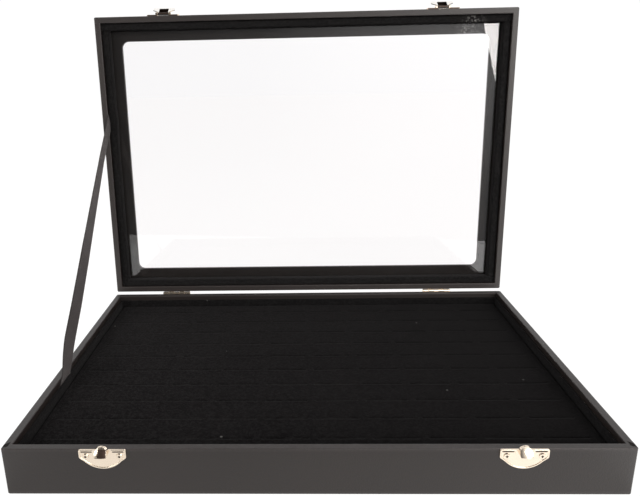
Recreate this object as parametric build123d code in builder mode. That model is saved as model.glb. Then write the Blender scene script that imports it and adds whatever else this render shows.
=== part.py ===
# Ring display case: a shallow tray with a slotted velvet ring pad, a glazed lid on two small
# butt hinges, two snap hasps at the front and one ribbon stay on the left.
#
# Millimetres. X runs to the right along the front, Y to the back and Z up. The origin lies in
# the middle of the tray's underside. The case is modelled with its lid open, as it is shown.
# Every piece of the lid is drawn in the lid's own place, which is the closed lid turned back
# about the hinge line, and every piece of a hasp flap in the flap's own place.

import os
from math import asin, degrees, hypot, sqrt

from build123d import *

# Overall sizes
case_width = 350.0
case_depth = 240.0
tray_height = 29.8
lid_height = 15.0
wall = 4.8
open_angle = 92.5

# Leatherette covering, glued round every board
cover = 0.5
corner_round = 1.2
edge_round = 0.9
rim_round = 0.4
under_turn = 12.0

# Boards
base_board_thickness = 3.0
lid_board_thickness = 2.0

# Velvet lining boards inside the tray walls
lining_thickness = 1.5
lining_drop = 3.9

# Ring pad: a card board, a slit foam block and the velvet that is tucked into each slit
pad_clearance = 0.6
pad_drop = 9.0
pad_board_thickness = 2.0
pad_corner_round = 3.0
velvet = 0.8
slit_columns = 10
slit_rows = 10
slit_opening = 0.6
slit_depth = 9.0
slit_spacing = 6.1
pad_side_margin = 5.1
pad_front_margin = 6.1

# Glazed window of the lid
window_border = 19.0
window_corner_round = 5.5
glass_thickness = 2.0
glass_clearance = 0.7
glass_corner_round = 1.5
retainer_width = 5.8
retainer_drop = 3.0

# Ribbon stay on the left
stay_width = 12.0
stay_thickness = 0.4
stay_clearance = 0.05
stay_pocket_clearance = 0.15
stay_tray_reach = 154.7
stay_lid_reach = 153.0
stay_tuck_tray = 9.0
stay_tuck_lid = 7.0

# Butt hinges
seam_gap = 0.3
hinge_left_inset = 55.3
hinge_right_inset = 57.2
hinge_width = 24.0
hinge_standoff = 1.6
knuckle_radius = 1.4
knuckle_gap = 0.25
knuckle_clearance = 0.3
knuckle_count = 5
leaf_height = 10.5
leaf_thickness = 0.6
hinge_pin_radius = 0.7
hinge_screw_span = 15.0
hinge_screw_drop = 6.4

# Hasps: a catch plate on the tray, a base plate on the lid and a flap that snaps over the nose
hasp_left_inset = 57.5
hasp_right_inset = 61.0
hasp_plate_width = 26.6
hasp_plate_height = 12.0
hasp_plate_side = 5.2
hasp_plate_thickness = 0.8
hasp_plate_corner_round = 0.9
hasp_plate_heel_round = 1.6
hasp_plate_shoulder_out = 10.3
hasp_plate_shoulder_drop = 7.4
hasp_plate_shoulder_round = 4.0
bead_width = 0.9
bead_height = 0.3
bead_round = 0.25
groove_start = 5.6
groove_end = 12.1
groove_drop = 1.4
groove_width = 0.7
groove_depth = 0.35
catch_rise = 0.0
hasp_screw_span = 19.0
hasp_screw_drop = 4.2
nose_radius = 3.55
nose_drop = 1.15
nose_flat = 1.55
nose_face_radius = 12.0
nose_top_out = 1.0
nose_lip_out = 4.4
nose_edge_round = 0.45
nose_sheet = 0.7
nose_ring_radius = 5.2
nose_ring_height = 0.3
base_plate_lift = 1.2
flap_pivot_lift = 3.8
flap_pivot_out = 1.9
flap_fold_angle = 146.0
flap_barrel_radius = 1.2
flap_pin_radius = 0.6
flap_thickness = 0.7
flap_clearance = 0.4
flap_cup_clearance = 0.5
flap_lip_clearance = 0.15
flap_neck_width = 9.2
flap_length = 10.2
flap_bill_width = 18.0
flap_shoulder_drop = 2.8
flap_bill_flare = 2.8
flap_curl_start = 7.4
flap_curl_radius = 7.0
flap_tip_round = 1.8
ear_thickness = 1.2
ear_radius = 1.4
ear_gap = 0.25

# Running fits and small screws
running_clearance = 0.05
pin_head_height = 0.4
pin_head_extra = 0.4
screw_head_radius = 1.8
screw_head_height = 0.55
screw_head_round = 0.35
screw_shank_radius = 0.85
screw_length = 4.0
screw_clearance = 0.05
screw_slot_length = 1.55
screw_slot_width = 0.6
screw_slot_depth = 0.9
hinge_screw_head_radius = 1.4

os.makedirs("parts", exist_ok=True)

# Worked-out sizes
inner_width = case_width - 2 * wall
inner_depth = case_depth - 2 * wall
board = wall - 2 * cover
board_width = case_width - 2 * cover
board_depth = case_depth - 2 * cover
floor_z = cover + base_board_thickness
hinge_y = case_depth / 2 + hinge_standoff
hinge_z = tray_height + seam_gap / 2
lid_panel = lid_board_thickness + 2 * cover
glass_outer = lid_height - lid_panel
glass_inner = glass_outer - glass_thickness
sides = {"left": -1, "right": 1}
hinge_x = {"left": hinge_left_inset - case_width / 2, "right": case_width / 2 - hinge_right_inset}
hasp_x = {"left": hasp_left_inset - case_width / 2, "right": case_width / 2 - hasp_right_inset}

# Places: the tray's is the case's own frame, and the lid's turns back about the hinge line
tray_place = Location((0, 0, 0))
hinge_line = Location((0, hinge_y, hinge_z), (-open_angle, 0, 0))
lid_place = hinge_line * Location((0, -hinge_y, seam_gap / 2))
front_y = -case_depth / 2
back_y = case_depth / 2
catch_edge_z = tray_height + catch_rise
catch_places = {side: Location((x, front_y, catch_edge_z)) for side, x in hasp_x.items()}
base_places = {
    side: lid_place * Location((x, front_y, base_plate_lift), (0, 180, 0))
    for side, x in hasp_x.items()
}
flap_pivot_y = front_y - flap_pivot_out
flap_places = {
    side: lid_place * Location((x, flap_pivot_y, flap_pivot_lift), (-flap_fold_angle, 0, 0))
    for side, x in hasp_x.items()
}


def level(place, z):
    """Plane facing up in a place, with X to the right and Y to the back."""
    return Plane(place * Location((0, 0, z)))


def front(place, y):
    """Plane facing the front of a place, with X to the right and Z up."""
    return Plane(place * Location((0, y, 0)) * Plane.XZ.location)


def back(place, y):
    """Plane facing the back of a place, with X to the left and Z up."""
    return Plane(place * Location((0, y, 0), (0, 0, 180)) * Plane.XZ.location)


def section(place, x):
    """Cross-section plane of a place, with Y to the back and Z up, facing right."""
    return Plane(place * Location((x, 0, 0)) * Plane.YZ.location)


def dots(plane, spots, radius):
    """Circles on a plane, for drilling or for screws."""
    with BuildSketch(plane) as sketch:
        with Locations(*spots):
            Circle(radius)
    return sketch.sketch


def half_moon(inset):
    """Outline of a hasp plate, or of the field that is an inset inside it.

    It has a straight side along X, two short sides and a bow between them. The shoulders of the
    bow slope at about 45 degrees.
    """
    half = hasp_plate_width / 2 - inset
    side = inset / 2 - hasp_plate_side
    shoulder_in = inset / sqrt(2)
    shoulder_x = hasp_plate_shoulder_out - shoulder_in
    shoulder_z = shoulder_in - hasp_plate_shoulder_drop
    with BuildSketch(Plane.XZ) as sketch:
        with BuildLine():
            Polyline(
                (-shoulder_x, shoulder_z),
                (-half, side),
                (-half, -inset),
                (half, -inset),
                (half, side),
                (shoulder_x, shoulder_z),
            )
            ThreePointArc((shoulder_x, shoulder_z), (0, inset - hasp_plate_height), (-shoulder_x, shoulder_z))
        make_face()
        fillet(sketch.vertices().group_by(Axis.Y)[-1], hasp_plate_corner_round)
        fillet(sketch.vertices().group_by(Axis.Y)[1], hasp_plate_heel_round)
        fillet(sketch.vertices().group_by(Axis.Y)[0], hasp_plate_shoulder_round)
    return sketch.sketch


def hinge_leaf(place, x, axis_z, bow, own_knuckles, holes):
    """Leaf of a butt hinge on the back of the tray or of the lid.

    axis_z is the height of the hinge line in the place, bow is 1 for a leaf that goes up from it
    and -1 for one that goes down, and own_knuckles are the knuckles of the barrel it carries.
    """
    start = x - hinge_width / 2
    knuckle = hinge_width / knuckle_count
    with BuildPart() as leaf:
        with BuildSketch(section(place, start)):
            with Locations((back_y + leaf_thickness / 2, axis_z + bow * leaf_height / 2)):
                Rectangle(leaf_thickness, leaf_height)
            with Locations((hinge_y, axis_z)):
                Circle(knuckle_radius)
        extrude(amount=hinge_width)
        for index in range(knuckle_count):
            if index not in own_knuckles:
                with BuildSketch(section(place, start + index * knuckle - knuckle_gap / 2)):
                    with Locations((hinge_y, axis_z)):
                        Rectangle(3 * hinge_standoff, 2 * (knuckle_radius + knuckle_clearance))
                extrude(amount=knuckle + knuckle_gap, mode=Mode.SUBTRACT)
        with BuildSketch(section(place, start)):
            with Locations((hinge_y, axis_z)):
                Circle(hinge_pin_radius + running_clearance)
        extrude(amount=hinge_width, mode=Mode.SUBTRACT)
        extrude(holes, amount=-hole_depth, mode=Mode.SUBTRACT)
    return leaf.part


def pin(place, x, y, z, radius, length):
    """Hinge pin along X with a low round head at either end, outside its length."""
    with BuildPart() as rod:
        with BuildSketch(section(place, x - length / 2)):
            with Locations((y, z)):
                Circle(radius)
        extrude(amount=length)
        for head_x in (x - length / 2 - pin_head_height, x + length / 2):
            with BuildSketch(section(place, head_x)):
                with Locations((y, z)):
                    Circle(radius + pin_head_extra)
            extrude(amount=pin_head_height)
    return rod.part


def screw(head_radius):
    """Cross-recessed pan-head screw with a plain shank, its head out of the XY plane."""
    with BuildPart() as one:
        with BuildSketch(Plane.XY):
            Circle(head_radius)
        extrude(amount=screw_head_height)
        fillet(one.faces().sort_by(Axis.Z)[-1].edges(), screw_head_round)
        with BuildSketch(Plane.XY.offset(screw_head_height)):
            Rectangle(screw_slot_length, screw_slot_width)
            Rectangle(screw_slot_width, screw_slot_length)
        extrude(amount=-screw_slot_depth, mode=Mode.SUBTRACT)
        with BuildSketch(Plane.XY):
            Circle(screw_shank_radius)
        extrude(amount=-screw_length)
    return one.part


# Where the screws go: across and up on the front of the tray and lid, and on their backs
catch_spots = [
    (x + offset, catch_edge_z - hasp_screw_drop)
    for x in hasp_x.values()
    for offset in (-hasp_screw_span / 2, hasp_screw_span / 2)
]
hasp_spots = [
    (x + offset, base_plate_lift + hasp_screw_drop)
    for x in hasp_x.values()
    for offset in (-hasp_screw_span / 2, hasp_screw_span / 2)
]
hinge_spots = [
    (-x + offset, hinge_screw_drop)
    for x in hinge_x.values()
    for offset in (-hinge_screw_span / 2, hinge_screw_span / 2)
]
tray_hinge_spots = [(x, hinge_z - drop) for x, drop in hinge_spots]
lid_hinge_spots = [(x, drop - seam_gap / 2) for x, drop in hinge_spots]
hole_radius = screw_shank_radius + screw_clearance
hole_depth = screw_length + screw_clearance

# Holes that every board and covering under a screw is drilled with
catch_seat = front(tray_place, front_y - hasp_plate_thickness)
hasp_seat = front(lid_place, front_y - hasp_plate_thickness)
tray_hinge_seat = back(tray_place, back_y + leaf_thickness)
lid_hinge_seat = back(lid_place, back_y + leaf_thickness)
catch_holes = dots(catch_seat, catch_spots, hole_radius)
hasp_holes = dots(hasp_seat, hasp_spots, hole_radius)
tray_hinge_holes = dots(tray_hinge_seat, tray_hinge_spots, hole_radius)
lid_hinge_holes = dots(lid_hinge_seat, lid_hinge_spots, hole_radius)

# Tray boards. The front and back walls run the full width, and the side walls stand between them
wall_y = (board_depth - board) / 2
wall_x = (board_width - board) / 2
side_length = board_depth - 2 * board

with BuildPart() as tray_front_wall:
    with BuildSketch(level(tray_place, cover)):
        with Locations((0, -wall_y)):
            Rectangle(board_width, board)
    extrude(amount=tray_height - 2 * cover)
    extrude(catch_holes, amount=-hole_depth, mode=Mode.SUBTRACT)
tray_front_wall.part.label = "tray_front_wall"
export_step(tray_front_wall.part, "parts/tray_front_wall.step")

with BuildPart() as tray_back_wall:
    with BuildSketch(level(tray_place, cover)):
        with Locations((0, wall_y)):
            Rectangle(board_width, board)
    extrude(amount=tray_height - 2 * cover)
    extrude(tray_hinge_holes, amount=-hole_depth, mode=Mode.SUBTRACT)
tray_back_wall.part.label = "tray_back_wall"
export_step(tray_back_wall.part, "parts/tray_back_wall.step")

tray_boards = [tray_front_wall.part, tray_back_wall.part]
for side, sign in sides.items():
    with BuildPart() as tray_side_wall:
        with BuildSketch(level(tray_place, cover)):
            with Locations((sign * wall_x, 0)):
                Rectangle(board, side_length)
        extrude(amount=tray_height - 2 * cover)
    tray_side_wall.part.label = f"tray_{side}_wall"
    export_step(tray_side_wall.part, f"parts/tray_{side}_wall.step")
    tray_boards.append(tray_side_wall.part)

with BuildPart() as tray_base_board:
    with BuildSketch(level(tray_place, cover)):
        Rectangle(board_width - 2 * board, side_length)
    extrude(amount=base_board_thickness)
tray_base_board.part.label = "tray_base_board"
export_step(tray_base_board.part, "parts/tray_base_board.step")
tray_boards.append(tray_base_board.part)

# Sheet glued inside the turned-under covering, level with it
with BuildPart() as tray_base_sheet:
    with BuildSketch(level(tray_place, 0)):
        Rectangle(case_width - 2 * under_turn, case_depth - 2 * under_turn)
    extrude(amount=cover)
tray_base_sheet.part.label = "tray_base_sheet"
export_step(tray_base_sheet.part, "parts/tray_base_sheet.step")

# Covering of the tray: one skin over the outside, the rim and the inside of the walls, and
# turned under the base
with BuildPart() as tray_covering:
    with BuildSketch(level(tray_place, 0)):
        RectangleRounded(case_width, case_depth, corner_round)
    extrude(amount=tray_height)
    fillet(tray_covering.faces().sort_by(Axis.Z)[0].edges(), edge_round)
    with BuildSketch(level(tray_place, floor_z)):
        Rectangle(inner_width, inner_depth)
    extrude(amount=tray_height - floor_z, mode=Mode.SUBTRACT)
    fillet(tray_covering.faces().sort_by(Axis.Z)[-1].edges(), rim_round)
    for piece in tray_boards + [tray_base_sheet.part]:
        add(piece, mode=Mode.SUBTRACT)
    extrude(catch_holes, amount=-hole_depth, mode=Mode.SUBTRACT)
    extrude(tray_hinge_holes, amount=-hole_depth, mode=Mode.SUBTRACT)
tray_covering.part.label = "tray_covering"
export_step(tray_covering.part, "parts/tray_covering.step")

# Ribbon stay, one straight strip between the lining and the wall of the tray, and between the
# glass retainer and the wall of the lid
stay_x = -inner_width / 2 + stay_clearance
stay_foot = Vector(stay_x, hinge_y - stay_tray_reach, tray_height - lining_drop)
stay_head = Vector((lid_place * Location((stay_x, hinge_y - stay_lid_reach, 0))).position)
stay_run = stay_head - stay_foot
stay_plane = Plane(origin=stay_foot, x_dir=stay_run.normalized(), z_dir=(1, 0, 0))
stay_length = stay_tuck_tray + stay_run.length + stay_tuck_lid
stay_middle = stay_length / 2 - stay_tuck_tray

with BuildPart() as stay_ribbon:
    with BuildSketch(stay_plane):
        with Locations((stay_middle, 0)):
            Rectangle(stay_length, stay_width)
    extrude(amount=stay_thickness)
stay_ribbon.part.label = "stay_ribbon"
export_step(stay_ribbon.part, "parts/stay_ribbon.step")

# Room that the ribbon takes in the lining and in the retainer
with BuildPart() as stay_room:
    with BuildSketch(stay_plane.offset(-stay_clearance)):
        with Locations((stay_middle, 0)):
            Rectangle(stay_length + 2 * stay_pocket_clearance, stay_width + 2 * stay_pocket_clearance)
    extrude(amount=stay_clearance + stay_thickness + stay_pocket_clearance)

# Lining boards of the tray
lining_height = tray_height - lining_drop - floor_z
lining_y = (inner_depth - lining_thickness) / 2
lining_x = (inner_width - lining_thickness) / 2

for end, sign in (("front", -1), ("back", 1)):
    with BuildPart() as lining:
        with BuildSketch(level(tray_place, floor_z)):
            with Locations((0, sign * lining_y)):
                Rectangle(inner_width, lining_thickness)
        extrude(amount=lining_height)
    lining.part.label = f"tray_{end}_lining"
    export_step(lining.part, f"parts/tray_{end}_lining.step")

for side, sign in sides.items():
    with BuildPart() as lining:
        with BuildSketch(level(tray_place, floor_z)):
            with Locations((sign * lining_x, 0)):
                Rectangle(lining_thickness, inner_depth - 2 * lining_thickness)
        extrude(amount=lining_height)
        add(stay_room.part, mode=Mode.SUBTRACT)
    lining.part.label = f"tray_{side}_lining"
    export_step(lining.part, f"parts/tray_{side}_lining.step")

# Ring pad
pad_width = inner_width - 2 * (lining_thickness + pad_clearance)
pad_depth = inner_depth - 2 * (lining_thickness + pad_clearance)
pad_top = tray_height - pad_drop
foam_width = pad_width - 2 * velvet
foam_depth = pad_depth - 2 * velvet
foam_floor = floor_z + pad_board_thickness
foam_top = pad_top - velvet
slit_pitch_x = (pad_width - 2 * pad_side_margin) / slit_columns
slit_pitch_y = (pad_depth - 2 * pad_front_margin) / slit_rows
slit_length = slit_pitch_x - slit_spacing

with BuildPart() as pad_board:
    with BuildSketch(level(tray_place, floor_z)):
        RectangleRounded(foam_width, foam_depth, pad_corner_round - velvet)
    extrude(amount=pad_board_thickness)
pad_board.part.label = "pad_board"
export_step(pad_board.part, "parts/pad_board.step")

with BuildPart() as pad_foam:
    with BuildSketch(level(tray_place, foam_floor)):
        RectangleRounded(foam_width, foam_depth, pad_corner_round - velvet)
    extrude(amount=foam_top - foam_floor)
    with BuildSketch(level(tray_place, foam_top)):
        with GridLocations(slit_pitch_x, slit_pitch_y, slit_columns, slit_rows):
            Rectangle(slit_length + 2 * velvet, slit_opening + 2 * velvet)
    extrude(amount=-slit_depth - velvet, mode=Mode.SUBTRACT)
pad_foam.part.label = "pad_foam"
export_step(pad_foam.part, "parts/pad_foam.step")

with BuildPart() as pad_velvet:
    with BuildSketch(level(tray_place, floor_z)):
        RectangleRounded(pad_width, pad_depth, pad_corner_round)
    extrude(amount=pad_top - floor_z)
    add(pad_board.part, mode=Mode.SUBTRACT)
    add(pad_foam.part, mode=Mode.SUBTRACT)
    with BuildSketch(level(tray_place, pad_top)):
        with GridLocations(slit_pitch_x, slit_pitch_y, slit_columns, slit_rows):
            Rectangle(slit_length, slit_opening)
    extrude(amount=-slit_depth - velvet, mode=Mode.SUBTRACT)
pad_velvet.part.label = "pad_velvet"
export_step(pad_velvet.part, "parts/pad_velvet.step")

# Lid boards, in the lid's place: its rim is at height 0 and its top at lid_height
lid_board_z = glass_outer + cover
window_width = case_width - 2 * window_border
window_depth = case_depth - 2 * window_border

with BuildPart() as lid_front_wall:
    with BuildSketch(level(lid_place, cover)):
        with Locations((0, -wall_y)):
            Rectangle(board_width, board)
    extrude(amount=glass_outer)
    extrude(hasp_holes, amount=-hole_depth, mode=Mode.SUBTRACT)
lid_front_wall.part.label = "lid_front_wall"
export_step(lid_front_wall.part, "parts/lid_front_wall.step")

with BuildPart() as lid_back_wall:
    with BuildSketch(level(lid_place, cover)):
        with Locations((0, wall_y)):
            Rectangle(board_width, board)
    extrude(amount=glass_outer)
    extrude(lid_hinge_holes, amount=-hole_depth, mode=Mode.SUBTRACT)
lid_back_wall.part.label = "lid_back_wall"
export_step(lid_back_wall.part, "parts/lid_back_wall.step")

lid_boards = [lid_front_wall.part, lid_back_wall.part]
for side, sign in sides.items():
    with BuildPart() as lid_side_wall:
        with BuildSketch(level(lid_place, cover)):
            with Locations((sign * wall_x, 0)):
                Rectangle(board, side_length)
        extrude(amount=glass_outer)
    lid_side_wall.part.label = f"lid_{side}_wall"
    export_step(lid_side_wall.part, f"parts/lid_{side}_wall.step")
    lid_boards.append(lid_side_wall.part)

with BuildPart() as lid_board:
    with BuildSketch(level(lid_place, lid_board_z)):
        Rectangle(board_width, board_depth)
        RectangleRounded(
            window_width + 2 * cover,
            window_depth + 2 * cover,
            window_corner_round + cover,
            mode=Mode.SUBTRACT,
        )
    extrude(amount=lid_board_thickness)
lid_board.part.label = "lid_board"
export_step(lid_board.part, "parts/lid_board.step")
lid_boards.append(lid_board.part)

# Covering of the lid: one skin over the top, the outside, the rim, the inside of the walls and
# the edge of the window
lid_axis = Axis((0, 0, 0), level(lid_place, 0).z_dir)
with BuildPart() as lid_covering:
    with BuildSketch(level(lid_place, 0)):
        RectangleRounded(case_width, case_depth, corner_round)
    extrude(amount=lid_height)
    fillet(lid_covering.faces().sort_by(lid_axis)[-1].edges(), edge_round)
    with BuildSketch(level(lid_place, 0)):
        Rectangle(inner_width, inner_depth)
    extrude(amount=glass_outer, mode=Mode.SUBTRACT)
    fillet(lid_covering.faces().sort_by(lid_axis)[0].edges(), rim_round)
    with BuildSketch(level(lid_place, glass_outer)):
        RectangleRounded(window_width, window_depth, window_corner_round)
    extrude(amount=lid_panel, mode=Mode.SUBTRACT)
    for piece in lid_boards:
        add(piece, mode=Mode.SUBTRACT)
    extrude(hasp_holes, amount=-hole_depth, mode=Mode.SUBTRACT)
    extrude(lid_hinge_holes, amount=-hole_depth, mode=Mode.SUBTRACT)
lid_covering.part.label = "lid_covering"
export_step(lid_covering.part, "parts/lid_covering.step")

# Glass pane behind the window, held from the inside by four velvet-wrapped strips
with BuildPart() as glass_pane:
    with BuildSketch(level(lid_place, glass_inner)):
        RectangleRounded(
            inner_width - 2 * glass_clearance,
            inner_depth - 2 * glass_clearance,
            glass_corner_round,
        )
    extrude(amount=glass_thickness)
glass_pane.part.label = "glass_pane"
export_step(glass_pane.part, "parts/glass_pane.step")

retainer_height = glass_inner - retainer_drop
for end, sign in (("front", -1), ("back", 1)):
    with BuildPart() as retainer:
        with BuildSketch(level(lid_place, retainer_drop)):
            with Locations((0, sign * (inner_depth - retainer_width) / 2)):
                Rectangle(inner_width, retainer_width)
        extrude(amount=retainer_height)
    retainer.part.label = f"glass_retainer_{end}"
    export_step(retainer.part, f"parts/glass_retainer_{end}.step")

for side, sign in sides.items():
    with BuildPart() as retainer:
        with BuildSketch(level(lid_place, retainer_drop)):
            with Locations((sign * (inner_width - retainer_width) / 2, 0)):
                Rectangle(retainer_width, inner_depth - 2 * retainer_width)
        extrude(amount=retainer_height)
        add(stay_room.part, mode=Mode.SUBTRACT)
    retainer.part.label = f"glass_retainer_{side}"
    export_step(retainer.part, f"parts/glass_retainer_{side}.step")

# Butt hinges: the tray's leaves carry the outer and middle knuckles and hold the pins
for side, x in hinge_x.items():
    tray_leaf = hinge_leaf(tray_place, x, hinge_z, -1, (0, 2, 4), tray_hinge_holes)
    tray_leaf.label = f"hinge_tray_leaf_{side}"
    export_step(tray_leaf, f"parts/hinge_tray_leaf_{side}.step")

    lid_leaf = hinge_leaf(lid_place, x, -seam_gap / 2, 1, (1, 3), lid_hinge_holes)
    lid_leaf.label = f"hinge_lid_leaf_{side}"
    export_step(lid_leaf, f"parts/hinge_lid_leaf_{side}.step")

    hinge_pin = pin(tray_place, x, hinge_y, hinge_z, hinge_pin_radius, hinge_width)
    hinge_pin.label = f"hinge_pin_{side}"
    export_step(hinge_pin, f"parts/hinge_pin_{side}.step")

# The plate that both halves of a hasp start from, with a raised bead round it, its straight side
# along X and its back on the XZ plane
with BuildPart() as hasp_plate:
    extrude(half_moon(0), amount=hasp_plate_thickness + bead_height)
    extrude(half_moon(bead_width), amount=hasp_plate_thickness + bead_height, mode=Mode.SUBTRACT)
    fillet(hasp_plate.faces().sort_by(Axis.Y)[0].edges(), bead_round)
    extrude(half_moon(bead_width), amount=hasp_plate_thickness)
    with BuildSketch(Plane.XZ):
        with Locations((-hasp_screw_span / 2, -hasp_screw_drop), (hasp_screw_span / 2, -hasp_screw_drop)):
            Circle(hole_radius)
    extrude(amount=hasp_plate_thickness, mode=Mode.SUBTRACT)
    groove_middle = (groove_start + groove_end) / 2
    with BuildSketch(Plane.XZ.offset(hasp_plate_thickness)):
        with Locations((-groove_middle, -groove_drop), (groove_middle, -groove_drop)):
            SlotOverall(groove_end - groove_start, groove_width)
    extrude(amount=-groove_depth, mode=Mode.SUBTRACT)

# Side profile of the nose, as points out of the wall and up from its middle. Its sloping face is
# part of a ball through the top and the lip, whose middle lies behind the wall
nose_z = catch_edge_z - nose_drop
nose_top = Vector(hasp_plate_thickness + nose_top_out, nose_radius)
nose_lip = Vector(hasp_plate_thickness + nose_lip_out, -nose_flat)
nose_chord = nose_top - nose_lip
nose_reach = (nose_face_radius**2 - (nose_chord.length / 2) ** 2) ** 0.5
nose_ball = (nose_top + nose_lip) / 2 - Vector(nose_chord.Y, -nose_chord.X).normalized() * nose_reach


def nose_body(x, inset):
    """Solid round nose with a sloping face, or the hollow that is an inset inside it."""
    with BuildPart() as body:
        with BuildSketch(front(tray_place, front_y - hasp_plate_thickness / 2)):
            with Locations((x, nose_z)):
                Circle(nose_radius - inset)
        extrude(amount=nose_lip.X)
        with Locations((x, front_y - nose_ball.X, nose_z + nose_ball.Y)):
            Sphere(nose_face_radius - inset, mode=Mode.INTERSECT)
    return body.part


# Catch plates on the tray, each with a nose that rises above the rim and is cut off flat below,
# where the lip of the flap takes hold
for side, x in hasp_x.items():
    with BuildPart() as nose:
        add(nose_body(x, 0))
        fillet(nose.faces().sort_by(Axis.Y)[0].edges(), nose_edge_round)
        add(nose_body(x, nose_sheet), mode=Mode.SUBTRACT)
        split(bisect_by=level(tray_place, nose_z - nose_flat), keep=Keep.TOP)
    with BuildPart() as catch_plate:
        add(hasp_plate.part.moved(catch_places[side]))
        with BuildSketch(catch_seat):
            with Locations((x, nose_z)):
                Circle(nose_ring_radius)
            with Locations((x, catch_edge_z + nose_ring_radius)):
                Rectangle(2 * nose_ring_radius, 2 * nose_ring_radius, mode=Mode.SUBTRACT)
        extrude(amount=nose_ring_height)
        add(nose.part)
    catch_plate.part.label = f"catch_plate_{side}"
    export_step(catch_plate.part, f"parts/catch_plate_{side}.step")

# Base plates on the lid, each with two ears beside an opening for the flap's barrel, and the
# pins in their ears
ear_x = flap_neck_width / 2 + ear_gap
for side, x in hasp_x.items():
    with BuildPart() as hasp_base:
        add(hasp_plate.part.moved(base_places[side]))
        opening_top = flap_pivot_lift + flap_barrel_radius + flap_clearance
        with BuildSketch(front(lid_place, front_y)):
            with Locations((x, opening_top / 2)):
                Rectangle(2 * ear_x, opening_top)
        extrude(amount=hasp_plate_thickness + bead_height, mode=Mode.SUBTRACT)
        for start in (x - ear_x - ear_thickness, x + ear_x):
            with BuildSketch(section(lid_place, start)):
                with Locations((front_y - flap_pivot_out / 2, flap_pivot_lift)):
                    Rectangle(flap_pivot_out, 2 * ear_radius)
                with Locations((flap_pivot_y, flap_pivot_lift)):
                    Circle(ear_radius)
            extrude(amount=ear_thickness)
        with BuildSketch(section(lid_place, x - ear_x - ear_thickness)):
            with Locations((flap_pivot_y, flap_pivot_lift)):
                Circle(flap_pin_radius + running_clearance)
        extrude(amount=2 * (ear_x + ear_thickness), mode=Mode.SUBTRACT)
    hasp_base.part.label = f"hasp_base_{side}"
    export_step(hasp_base.part, f"parts/hasp_base_{side}.step")

    hasp_pin = pin(
        lid_place, x, flap_pivot_y, flap_pivot_lift, flap_pin_radius, 2 * (ear_x + ear_thickness)
    )
    hasp_pin.label = f"hasp_pin_{side}"
    export_step(hasp_pin, f"parts/hasp_pin_{side}.step")

# Hasp flaps, each in its own place: the pivot is at the origin, the flap hangs down from it and
# its outer face looks to the front, as it does when it is latched
flap_back = flap_pivot_out - hasp_plate_thickness - bead_height - flap_clearance
flap_front = flap_back - flap_thickness
nose_below = tray_height + seam_gap + flap_pivot_lift - nose_z
cup_y = flap_pivot_out - nose_ball.X
cup_z = nose_ball.Y - nose_below
cup_inner = nose_face_radius + flap_cup_clearance
cup_outer = cup_inner + flap_thickness
cup_top = -flap_barrel_radius - flap_lip_clearance
lip_z = -hypot(nose_lip.X - flap_pivot_out, nose_below + nose_flat) - flap_lip_clearance
lip_foot = lip_z - flap_thickness
neck = flap_neck_width / 2
bill = flap_bill_width / 2
shoulder_z = -flap_shoulder_drop
curl_centre = (flap_back - flap_curl_radius, -flap_curl_start)
curl_sweep = degrees(asin((flap_length - flap_curl_start) / flap_curl_radius))

for side, place in flap_places.items():
    with BuildPart() as flap:
        # The side profile, a flat strip with its tip curled outwards
        with BuildSketch(section(place, -bill)):
            with Locations(((flap_back + flap_front) / 2, -flap_curl_start / 2)):
                Rectangle(flap_thickness, flap_curl_start)
            with BuildLine():
                rear = CenterArc(curl_centre, flap_curl_radius, 0, -curl_sweep)
                face = CenterArc(curl_centre, flap_curl_radius - flap_thickness, 0, -curl_sweep)
                Line(rear @ 0, face @ 0)
                Line(rear @ 1, face @ 1)
            make_face()
        extrude(amount=flap_bill_width)
        # The outline seen from the front, a narrow neck and a wide bill
        with BuildSketch(front(place, flap_back)) as outline:
            with BuildLine():
                Polyline(
                    (-neck, 0),
                    (neck, 0),
                    (neck, shoulder_z),
                    (bill, shoulder_z - flap_bill_flare),
                    (bill, -flap_length),
                    (-bill, -flap_length),
                    (-bill, shoulder_z - flap_bill_flare),
                    (-neck, shoulder_z),
                    close=True,
                )
            make_face()
            fillet(outline.vertices().group_by(Axis.Y)[0], flap_tip_round)
        extrude(amount=flap_length / 2, mode=Mode.INTERSECT)
        # The cup over the nose, then the barrel, which stays whole
        with BuildSketch(section(place, -neck)):
            with Locations((cup_y, cup_z)):
                Circle(cup_outer)
            with Locations((flap_back - cup_outer, lip_foot / 2)):
                Rectangle(2 * cup_outer, -lip_foot, mode=Mode.INTERSECT)
        extrude(amount=flap_neck_width)
        with BuildSketch(section(place, flap_thickness - neck)):
            with Locations((cup_y, cup_z)):
                Circle(cup_inner)
            with Locations((0, (cup_top + lip_z) / 2)):
                Rectangle(4 * cup_inner, cup_top - lip_z, mode=Mode.INTERSECT)
        extrude(amount=flap_neck_width - 2 * flap_thickness, mode=Mode.SUBTRACT)
        with BuildSketch(section(place, -neck)):
            Circle(flap_barrel_radius)
        extrude(amount=flap_neck_width)
        with BuildSketch(section(place, -neck)):
            Circle(flap_pin_radius + running_clearance)
        extrude(amount=flap_neck_width, mode=Mode.SUBTRACT)
    flap.part.label = f"hasp_flap_{side}"
    export_step(flap.part, f"parts/hasp_flap_{side}.step")

# Screws of the four kinds of plate
for name, seat, spots, head_radius in (
    ("catch_screws", catch_seat, catch_spots, screw_head_radius),
    ("hasp_screws", hasp_seat, hasp_spots, screw_head_radius),
    ("hinge_tray_screws", tray_hinge_seat, tray_hinge_spots, hinge_screw_head_radius),
    ("hinge_lid_screws", lid_hinge_seat, lid_hinge_spots, hinge_screw_head_radius),
):
    one_screw = screw(head_radius)
    with BuildPart() as screws:
        for x, z in spots:
            add(one_screw.moved(seat.location * Location((x, z, 0))))
    screws.part.label = name
    export_step(screws.part, f"parts/{name}.step")
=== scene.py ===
import math

import bmesh
import bpy
import numpy as np
from mathutils import Matrix, Vector, noise


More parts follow.
